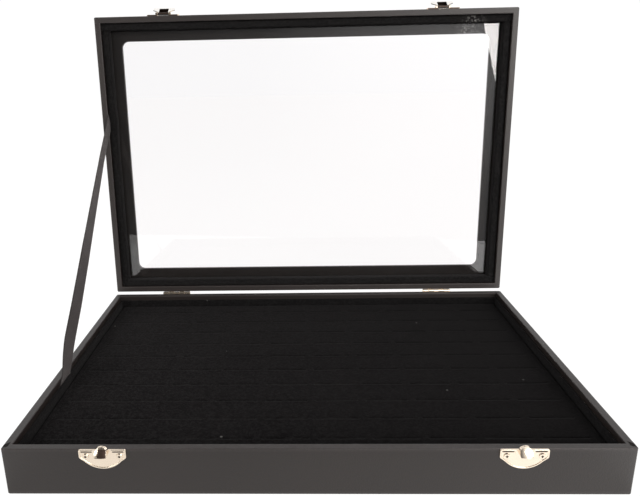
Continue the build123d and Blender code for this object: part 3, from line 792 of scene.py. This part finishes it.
def retainer_profile():
    """Loop of a glass retainer, its soft side to the rim of the lid."""
    wide = retainer_width
    loop = [(0.05, glass_inner), (0.05, 6.0)]
    loop += arc_points((0.85, retainer_drop + 0.8), 0.8, 180, 270, 3)
    loop += [(2.4, retainer_drop + 0.03), (3.8, retainer_drop + 0.03)]
    loop += arc_points((wide - 1.1, retainer_drop + 1.1), 1.1, 270, 360, 5)
    loop += [(wide, 6.0), (wide, 8.0), (wide, glass_inner)]
    return loop


def wall_runs(thickness):
    """Start, end and way inwards of a strip on each wall; the side strips end at the other two."""
    wide = inner_half_width
    deep = inner_half_depth
    short = deep - thickness
    return {
        "front": ((-wide, -deep), (wide, -deep), (0, 1)),
        "back": ((wide, deep), (-wide, deep), (0, -1)),
        "left": ((-wide, short), (-wide, -short), (1, 0)),
        "right": ((wide, -short), (wide, short), (-1, 0)),
    }


lining_stay_at = {"left": inner_half_depth - lining_thickness + stay_behind_lining}
retainer_stay_at = {"left": inner_half_depth - retainer_width + stay_behind_retainer}
for seed, (side, run) in enumerate(wall_runs(lining_thickness).items(), 11):
    strip(
        f"tray_{side}_velvet", run, lining_profile(), case_velvet, "tray", tray_place, seed,
        f"tray_{side}_lining", lining_stay_at.get(side),
    )
for seed, (side, run) in enumerate(wall_runs(retainer_width).items(), 21):
    strip(
        f"glass_velvet_{side}", run, retainer_profile(), retainer_velvet, "lid", lid_place, seed,
        f"glass_retainer_{side}", retainer_stay_at.get(side),
    )


# Ring pad

pad_margin = (0.0, 0.15, 0.45, 0.9, 1.5, 2.2, 3.0, 4.2)
pad_under_inset = 0.35
pad_side_pull = 0.25
pad_swell = 0.22
pad_dapple = 0.10

# Round a slit the velvet sinks, rises again a little way off, and rolls over the slit's lips
sink_depth = 0.16
sink_reach = 3.0
rise_height = 0.16
rise_from_slit = 1.9
rise_reach = 1.2
lip_reach = 0.75
lip_unevenness = 0.15

# The pile splays open on the lips, and a little inside the slit, where the velvet gets a painted sheen
splay_sheen_reach = 1.1
splay_sheen_fade = 0.7
sheen_in_slit = 0.4


def slit_spots(pitch, count):
    """Middles of the slits along one direction."""
    return [pitch * (index - (count - 1) / 2) for index in range(count)]


slit_places_x = slit_spots(slit_pitch_x, slit_columns)
slit_places_y = slit_spots(slit_pitch_y, slit_rows)


def grid_lines(half, spots, offsets):
    """Grid lines of the pad along one direction: round every slit, and at the pad's edges."""
    lines = set()
    for spot in spots:
        for offset in offsets:
            lines.add(round(spot + offset, 3))
            lines.add(round(spot - offset, 3))
    for inset in pad_margin:
        lines.add(round(half - inset, 3))
        lines.add(round(inset - half, 3))
    return sorted(value for value in lines if abs(value) <= half + 1e-6)


def from_slit(x, y):
    """Where a place is from the nearest slit: the slit's row, how far aside, and past its ends."""
    row = min(slit_places_y, key=lambda spot: abs(y - spot))
    past_end = max(min(abs(x - spot) for spot in slit_places_x) - slit_length / 2, 0.0)
    return row, y - row, past_end


def pad_surface(x, y):
    """Height of the velvet over the foam: pillowed between the slits, and tucked into them."""
    row, aside, past_end = from_slit(x, y)
    near = math.hypot(past_end * 1.4, aside)
    lip = lip_reach + lip_unevenness * ripple(x, row, 0.0, 16.0, 31)
    rise = rise_height * (1.0 if aside < 0 else 0.6)
    height = pad_top
    height -= sink_depth * math.exp(-((near / sink_reach) ** 2))
    height += rise * math.exp(-(((near - rise_from_slit) / rise_reach) ** 2))
    height += pad_swell * ripple(x, y, 0.0, 34.0, 32) + pad_dapple * ripple(x, y, 0.0, 9.0, 33)
    if near < lip:
        height -= lip * (1 - math.sqrt(max(1 - (1 - near / lip) ** 2, 0.0))) * 0.7
    if past_end <= 0 and abs(aside) < slit_half_gap:
        height -= slit_depth * (1 - (abs(aside) / slit_half_gap) ** 2)
    for inset in (pad_half_width - abs(x), pad_half_depth - abs(y)):
        if inset < pad_edge_roll:
            level = math.sqrt(max(pad_edge_roll ** 2 - (pad_edge_roll - inset) ** 2, 0.0))
            height -= pad_edge_roll - level
    return height


def lip_sheen_share(x, y):
    """How much painted sheen a place gets where the pile splays open, from 0 to 1 on the lips of a slit.
    """
    row, aside, past_end = from_slit(x, y)
    near = math.hypot(past_end * 0.8, aside)
    share = min(max((splay_sheen_reach - near) / splay_sheen_fade, 0.0), 1.0)
    band = share * share * (3 - 2 * share) if near > 0.1 else sheen_in_slit
    column = min(range(slit_columns), key=lambda index: abs(x - slit_places_x[index]))
    slit_by_slit = 0.55 + 0.6 * ripple(column * 37.0, row * 3.1, 0.0, 11.0, 35)
    return max(band * slit_by_slit * (0.6 + ripple(x, row, 0.0, 7.0, 36)), 0.0)


def round_corner(x, y):
    """The plan of the pad with its corners rounded."""
    limit_x = pad_half_width - pad_corner_round
    limit_y = pad_half_depth - pad_corner_round
    u = (abs(x) - limit_x) / pad_corner_round
    v = (abs(y) - limit_y) / pad_corner_round
    if u <= 0 or v <= 0:
        return x, y
    rounded_x = limit_x + u * math.sqrt(1 - v * v / 2) * pad_corner_round
    rounded_y = limit_y + v * math.sqrt(1 - u * u / 2) * pad_corner_round
    return math.copysign(rounded_x, x), math.copysign(rounded_y, y)


def ring_pad():
    """Velvet over the slit foam, with its sides and its flat underside."""
    half = slit_length / 2
    past_half = (half - 2.2, half - 0.7, half, half + 0.05, half + 0.5, half + 1.2, slit_pitch_x / 2)
    lines_x = grid_lines(pad_half_width, slit_places_x, (0.0, 4.0, 8.0, *past_half))
    from_row = (0.0, 0.08, slit_half_gap, 0.24, 0.45, 0.75, 1.1, 1.6, 2.3, 3.3, 5.0, 7.5, slit_pitch_y / 2)
    lines_y = grid_lines(pad_half_depth, slit_places_y, from_row)
    wide_count = len(lines_x)
    deep_count = len(lines_y)
    points, lips = [], []
    for y in lines_y:
        for x in lines_x:
            points.append((*round_corner(x, y), pad_surface(x, y)))
            lips.append(lip_sheen_share(x, y))
    faces = []
    for row in range(deep_count - 1):
        for column in range(wide_count - 1):
            first = row * wide_count + column
            faces.append((first, first + 1, first + 1 + wide_count, first + wide_count))
    border = list(range(wide_count))
    border += [row * wide_count + wide_count - 1 for row in range(1, deep_count)]
    border += [(deep_count - 1) * wide_count + column for column in reversed(range(wide_count - 1))]
    border += [row * wide_count for row in reversed(range(1, deep_count - 1))]
    loops = [border]
    for height in (13.0, 8.0, floor_z + 0.4, floor_z):
        start = len(points)
        for x, y, _ in [points[index] for index in border]:
            inset = pad_under_inset if height == floor_z else 0.0
            if height > floor_z + 1:
                inset = max(pad_side_pull * ripple(x, y, height, 25.0, 34), 0.0)
            points.append((x * (1 - inset / pad_half_width), y * (1 - inset / pad_half_depth), height))
        loops.append(list(range(start, len(points))))
    for upper, lower in zip(loops, loops[1:]):
        for index in range(len(border)):
            beside = (index + 1) % len(border)
            faces.append((upper[index], lower[index], lower[beside], upper[beside]))
    centre = len(points)
    points.append((0.0, 0.0, floor_z))
    bottom = loops[-1]
    for index in range(len(bottom)):
        faces.append((bottom[index], centre, bottom[(index + 1) % len(bottom)]))
    lips += [0.0] * (len(points) - len(lips))
    return points, faces, lips


pad_points, pad_faces, pad_lips = ring_pad()
ring_pad_velvet = mesh_piece(
    "ring_pad_velvet", pad_points, pad_faces, [pad_pile], "tray", painted_values={"lip": pad_lips}
)
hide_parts("pad_velvet")


# Ribbon stay

stay_steps = 120
stay_strands = 10
stay_half_thickness = 0.19
selvedge_half_thickness = 0.13
selvedge_share = 0.08
stay_cup = 0.2
stay_flutter = 0.1

# How the ribbon is turned, in degrees, and bowed out at these shares of its way from tray to lid
stay_shares = (-1.0, 0.0, 0.02, 0.06, 0.12, 0.25, 0.4, 0.55, 0.7, 0.85, 0.97, 1.0, 2.0)
stay_turns = (0.0, 0.0, 5.0, 13.0, 16.5, 15.9, 13.5, 8.2, 3.4, -0.8, -1.0, 0.0, 0.0)
stay_bows = (0.0, 0.0, 0.3, -0.45, -1.35, -0.83, -0.82, -0.92, -0.95, -0.93, -0.2, 0.0, 0.0)


def softened(shares, values):
    """Values at the stay's shares, read at others and smoothed along them."""
    weights = np.hanning(9)[1:-1]
    padded = np.pad(np.interp(shares, stay_shares, values), 3, mode="edge")
    return np.convolve(padded, weights / weights.sum(), "valid")


def ribbon_stay():
    """Strip of ribbon from inside the tray to inside the lid, bowed out and turned in its middle."""
    run = stay_head - stay_foot
    free = run.length
    along = run.normalized()
    side = along.cross(Vector((1, 0, 0))).normalized()
    out = Vector((-1, 0, 0))
    total = stay_tuck_tray + free + stay_tuck_lid
    distances = even(-stay_tuck_tray, total - stay_tuck_tray, stay_steps)
    shares = np.array(distances) / free
    turns = softened(shares, stay_turns)
    bows = softened(shares, stay_bows)
    front = [(share, 1.0) for share in even(0.0, 1.0, stay_strands)]
    loop = front + [(share, -1.0) for share, _ in reversed(front)]
    points, uvs = [], []
    for distance, turned, bow in zip(distances, turns, bows):
        hold = math.sin(math.pi * min(max(distance / free, 0.0), 1.0))
        turn = math.radians(turned)
        middle = stay_foot + along * distance - out * bow
        flat_side = side * math.cos(turn) - out * math.sin(turn)
        normal = out * math.cos(turn) + side * math.sin(turn)
        for share, face in loop:
            across = (share - 0.5) * stay_width
            inner = selvedge_share < share < 1 - selvedge_share
            thick = stay_half_thickness if inner else selvedge_half_thickness
            cup = stay_cup * hold * (1 - (2 * share - 1) ** 2)
            flutter = stay_flutter * hold * ripple(across, distance, 0.0, 14.0, 41)
            spot = middle + flat_side * across + normal * (face * thick + cup + flutter)
            points.append(tuple(spot))
            uvs.append((share, distance + stay_tuck_tray))
    faces = loop_faces(stay_steps + 1, len(loop))
    piece = mesh_piece("ribbon_stay", points, faces, [stay_grosgrain], None, uvs=uvs)
    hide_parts("stay_ribbon")
    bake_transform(piece)


ribbon_stay()


# Hasps: the CAD shapes, with painted shade and painted dark reflection on parts of the plated metal

weld_reach = 0.002 * MM
crease_angle = math.radians(30)

# Where the painted shade and dark reflection go, in the millimetres of each piece's own place
cup_half_width = 3.95
neck_half_width = 4.65
neck_foot = -1.6
cup_lip = -8.05
cup_back = -0.05
groove_low = Vector((5.4, -0.81, -2.0))
groove_high = Vector((12.3, -0.3, -0.9))
nose_front = -1.2
nose_low = -2.8
nose_high = 1.5
nose_dark_from = -1.5
nose_dark_to = 3.0
screw_seat = 0.4 - plate_thickness
screw_top = -0.54 - plate_thickness
screw_cross_reach = 0.8
rim_side_height = 1.3


def marked_copy(node_name, name, place, body, finish, marked):
    """A copy of a plated CAD node, with painted shade and reflection where marked(corners, middle, normal)
    says so.

    marked is given each face's corners and middle in the millimetres of the place, and its normal.
    """
    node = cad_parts[node_name]
    points = [(node.matrix_world @ vertex.co) / MM for vertex in node.data.vertices]
    faces = [tuple(polygon.vertices) for polygon in node.data.polygons]
    piece = mesh_piece(name, points, faces, [finish, painted_shade_nickel], body)
    back = place.inverted()
    own = [back @ point for point in points]
    for polygon in piece.data.polygons:
        corners = [own[index] for index in polygon.vertices]
        middle = sum(corners, Vector()) / len(corners)
        normal = (corners[1] - corners[0]).cross(corners[2] - corners[0]).normalized()
        if marked(corners, middle, normal):
            polygon.material_index = 1
    joined = bmesh.new()
    joined.from_mesh(piece.data)
    bmesh.ops.remove_doubles(joined, verts=joined.verts, dist=weld_reach)
    joined.to_mesh(piece.data)
    joined.free()
    piece.data.set_sharp_from_angle(angle=crease_angle)
    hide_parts(node_name)


def in_cup(corners, middle, normal):
    """Whether a face of a flap lies inside its cup or on the back of its neck: painted shade."""
    inside = all(abs(corner.x) < cup_half_width and corner.z > cup_lip for corner in corners)
    on_neck = all(abs(corner.x) < neck_half_width for corner in corners) and middle.z > neck_foot
    return (inside and middle.y < cup_back and normal.y > -0.2) or (on_neck and normal.y > 0.2)


def in_groove(corners, middle, normal):
    """Whether a face of a catch plate lies in one of its two long grooves: painted shade."""
    return all(
        groove_low.x < abs(corner.x) < groove_high.x
        and groove_low.y < corner.y < groove_high.y
        and groove_low.z < corner.z < groove_high.z
        for corner in corners
    )


def in_groove_or_nose(corners, middle, normal):
    """Whether a face of the left catch plate lies in a groove (painted shade) or on the face of its nose
    (a painted dark reflection).
    """
    facing = normal.y < -0.5 and middle.y < nose_front
    on_face = nose_dark_from < middle.x < nose_dark_to and nose_low < middle.z < nose_high
    return (facing and on_face) or in_groove(corners, middle, normal)


def in_cross(corners, middle, normal):
    """Whether a face of a row of screws lies in the cross pressed in one of its heads: painted shade."""
    on_top = normal.y < -0.5 and any(corner.y < screw_top for corner in corners)
    if on_top or any(corner.y >= screw_seat for corner in corners):
        return False
    for x in hasp_x.values():
        for screw_x in (x - hasp_screw_offset, x + hasp_screw_offset):
            if all(abs(corner.x - screw_x) < screw_cross_reach for corner in corners):
                return True
    return False


def on_rim_side(corners, middle, normal):
    """Whether a face of a base plate is the side that looks to the rim of the lid: a painted dark
    reflection.
    """
    return normal.z < -0.9 and max(corner.z for corner in corners) < rim_side_height


for side, x in hasp_x.items():
    flap_place = lid_place @ Matrix.Translation((x, hasp_front - flap_pivot_out, flap_pivot_lift))
    marked_copy(
        f"hasp_flap_{side}", f"flap_plate_{side}", flap_place @ Matrix.Rotation(-flap_fold, 4, "X"),
        f"flap_{side}", bright_nickel, in_cup,
    )
    marked_copy(
        f"catch_plate_{side}", f"nose_plate_{side}", Matrix.Translation((x, hasp_front, tray_height)),
        "tray", champagne_nickel, in_groove_or_nose if side == "left" else in_groove,
    )
    marked_copy(f"hasp_base_{side}", f"ear_plate_{side}", lid_place, "lid", champagne_nickel, on_rim_side)
front_face = Matrix.Translation((0, hasp_front, 0))
marked_copy("catch_screws", "nose_plate_screws", front_face, "tray", champagne_nickel, in_cross)
marked_copy("hasp_screws", "ear_plate_screws", lid_place @ front_face, "lid", champagne_nickel, in_cross)


# Finishes of the CAD nodes, by the first of these words that is in a node's name

finish_by_word = {
    "glass_pane": window_glass,
    "foam": dark_foam,
    "pad_board": grey_card,
    "base_sheet": case_leatherette,
    "lining": case_velvet,
    "retainer": case_velvet,
    "pad_velvet": case_velvet,
    "covering": case_leatherette,
    "ribbon": stay_grosgrain,
    "wall": raw_board,
    "board": raw_board,
}
for name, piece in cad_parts.items():
    finish = next((finish_by_word[word] for word in finish_by_word if word in name), champagne_nickel)
    if not piece.data.materials:
        piece.data.materials.append(finish)
    for holder in piece.material_slots:
        holder.material = finish


# The stage

table_reach = 4000.0
room_half_width = 3500.0
room_front = -2600.0
room_height = 2600.0
room_side_end = 300.0
ceiling_end = 600.0
room_floor_height = 0.5
room_floor_left_end = -835.0


def stage_card(name, corners, material, gloss_only=False):
    """A flat card of the studio, which only glossy rays meet if gloss_only is true."""
    mesh = bpy.data.meshes.new(name)
    mesh.from_pydata([Vector(corner) * MM for corner in corners], [], [(0, 1, 2, 3)])
    mesh.materials.append(material)
    card = bpy.data.objects.new(name, mesh)
    bpy.context.scene.collection.objects.link(card)
    if gloss_only:
        for ray in ("camera", "diffuse", "shadow", "volume_scatter"):
            setattr(card, f"visible_{ray}", False)


def seen_white(tree):
    """1 for rays that show the background: from the camera, off gloss or through glass."""
    ray = make(tree, "ShaderNodeLightPath").outputs
    seen = calc(tree, "MAXIMUM", ray["Is Camera Ray"], ray["Is Glossy Ray"])
    return calc(tree, "MAXIMUM", seen, ray["Is Transmission Ray"])


def mirrored_ray(tree):
    """1 for rays that gloss or either face of the glass has turned back."""
    turned_back = make(tree, "ShaderNodeLightPath").outputs["Glossy Depth"]
    return calc(tree, "GREATER_THAN", turned_back, 0.5)


def table_finish():
    """White table top with the shadow of the case on it, brighter in gloss beside the case."""
    material, tree, surface, place = blank_material("white_table")
    x = axis(tree, place, "X")
    rightward = span(tree, x, -0.05, 0.3, 0.0, 0.6)
    outside = span(tree, calc(tree, "ABSOLUTE", x), 0.176, 0.19)
    beside = times(tree, outside, span(tree, axis(tree, place, "Y"), -0.27, -0.2))
    extra = times(tree, beside, span(tree, x, -0.05, 0.1, 0.36, 0.75))
    mirrored = times(tree, mirrored_ray(tree), plus(tree, rightward, extra))
    level = plus(tree, times(tree, seen_white(tree), 0.948), mirrored)
    glow = make(tree, "ShaderNodeEmission", None, {"Color": (1.0, 0.997, 0.992, 1), "Strength": level})
    matt = make(tree, "ShaderNodeBsdfDiffuse", None, {"Color": (0.15, 0.15, 0.15, 1)})
    both = make(tree, "ShaderNodeAddShader", None, {0: glow.outputs[0], 1: matt.outputs[0]})
    put(surface, "Surface", both.outputs[0])
    return material


def room_finish():
    """Dim room behind the camera, seen in gloss only and brighter towards the lamp on the right."""
    material, tree, surface, place = blank_material("dim_room")
    far_glow = span(tree, axis(tree, place, "X"), -1.0, 0.3, 0.06, 0.30)
    near_glow = span(tree, axis(tree, place, "X"), -0.2, 0.9, 0.0, 0.75)
    upward = span(tree, axis(tree, place, "Z"), -0.1, 0.6, 0.5, 1.0)
    level = times(tree, plus(tree, far_glow, near_glow), upward)
    glow = make(tree, "ShaderNodeEmission", None, {"Strength": level}).outputs[0]
    clear = make(tree, "ShaderNodeBsdfTransparent").outputs[0]
    either = make(tree, "ShaderNodeMixShader", None, {0: mirrored_ray(tree), 1: clear, 2: glow})
    put(surface, "Surface", either.outputs[0])
    return material


def room_outlines():
    """Corners of the room's cards: behind the camera, above, on both sides and underfoot."""
    left, right = -room_half_width, room_half_width
    near, top, low = room_front, room_height, room_floor_height
    end, far = room_side_end, ceiling_end
    return {
        "room_wall": [(left, near, 0), (right, near, 0), (right, near, top), (left, near, top)],
        "room_ceiling": [(left, near, top), (right, near, top), (right, far, top), (left, far, top)],
        "room_left": [(left, near, 0), (left, end, 0), (left, end, top), (left, near, top)],
        "room_right": [(right, near, 0), (right, end, 0), (right, end, top), (right, near, top)],
        "room_floor": [
            (left, near, low), (right, near, low), (right, end, low), (left, room_floor_left_end, low)
        ],
    }


reach = table_reach
table_outline = [(-reach, -reach, 0), (reach, -reach, 0), (reach, reach, 0), (-reach, reach, 0)]
stage_card("table", table_outline, table_finish())
dim_room = room_finish()
for name, corners in room_outlines().items():
    stage_card(name, corners, dim_room, gloss_only=True)

world = bpy.data.worlds.new("studio")
bpy.context.scene.world = world
world.use_nodes = True
sky = world.node_tree
sky.nodes.clear()
backdrop = {"Color": (1.0, 1.0, 1.0, 1), "Strength": 1.02}
soft_light = {"Color": (1.0, 0.985, 0.97, 1), "Strength": 0.5}
shown = make(sky, "ShaderNodeBackground", None, backdrop).outputs[0]
lighting = make(sky, "ShaderNodeBackground", None, soft_light).outputs[0]
either = make(sky, "ShaderNodeMixShader", None, {0: seen_white(sky), 1: lighting, 2: shown})
put(make(sky, "ShaderNodeOutputWorld"), "Surface", either.outputs[0])


def softbox(name, centre, target, lean, size, radiance):
    """A rectangular soft lamp of that radiance, aimed at a point, its sides along lean."""
    data = bpy.data.lights.new(name, "AREA")
    data.shape = "RECTANGLE"
    data.size = size[0] * MM
    data.size_y = size[1] * MM
    data.energy = radiance * math.pi * data.size * data.size_y
    data.color = (1.0, 0.97, 0.94)
    lamp = bpy.data.objects.new(name, data)
    bpy.context.scene.collection.objects.link(lamp)
    centre, target, lean = Vector(centre), Vector(target), Vector(lean)
    aim = (target - centre).normalized()
    upright = (lean - aim * aim.dot(lean)).normalized()
    turn = Matrix((aim.cross(upright), upright, -aim)).transposed().to_4x4()
    lamp.matrix_world = Matrix.Translation(centre * MM) @ turn


softbox(
    "lamp_right", centre=(793.5, -1151.0, 616.5), target=(148.9, 0.0, 294.2),
    lean=(-0.2802, 0.1101, 0.9536), size=(620.0, 820.0), radiance=9.3,
)
softbox(
    "lamp_left", centre=(-1150.0, -800.0, 650.0), target=(0.0, 0.0, 100.0),
    lean=(0.0, 0.0, 1.0), size=(600.0, 800.0), radiance=5.5,
)


# Camera

camera_place = Vector((-7.7176, -417.5997, 234.6789))
camera_turn = 2.0298
camera_tilt = -16.7515
camera_roll = 1.2735

camera_data = bpy.data.cameras.new("camera")
camera = bpy.data.objects.new("camera", camera_data)
bpy.context.scene.collection.objects.link(camera)
camera_data.sensor_width = 36.0
camera_data.lens = 35.2478
camera_data.shift_x = 0.068086
camera_data.clip_start = 0.01
camera_data.clip_end = 50.0
aimed = Matrix.Translation(camera_place * MM)
for degrees, name in ((camera_turn, "Z"), (camera_tilt, "X"), (camera_roll, "Y"), (90.0, "X")):
    aimed = aimed @ Matrix.Rotation(math.radians(degrees), 4, name)
camera.matrix_world = aimed
bpy.context.scene.camera = camera
bpy.context.scene.view_settings.view_transform = "Standard"
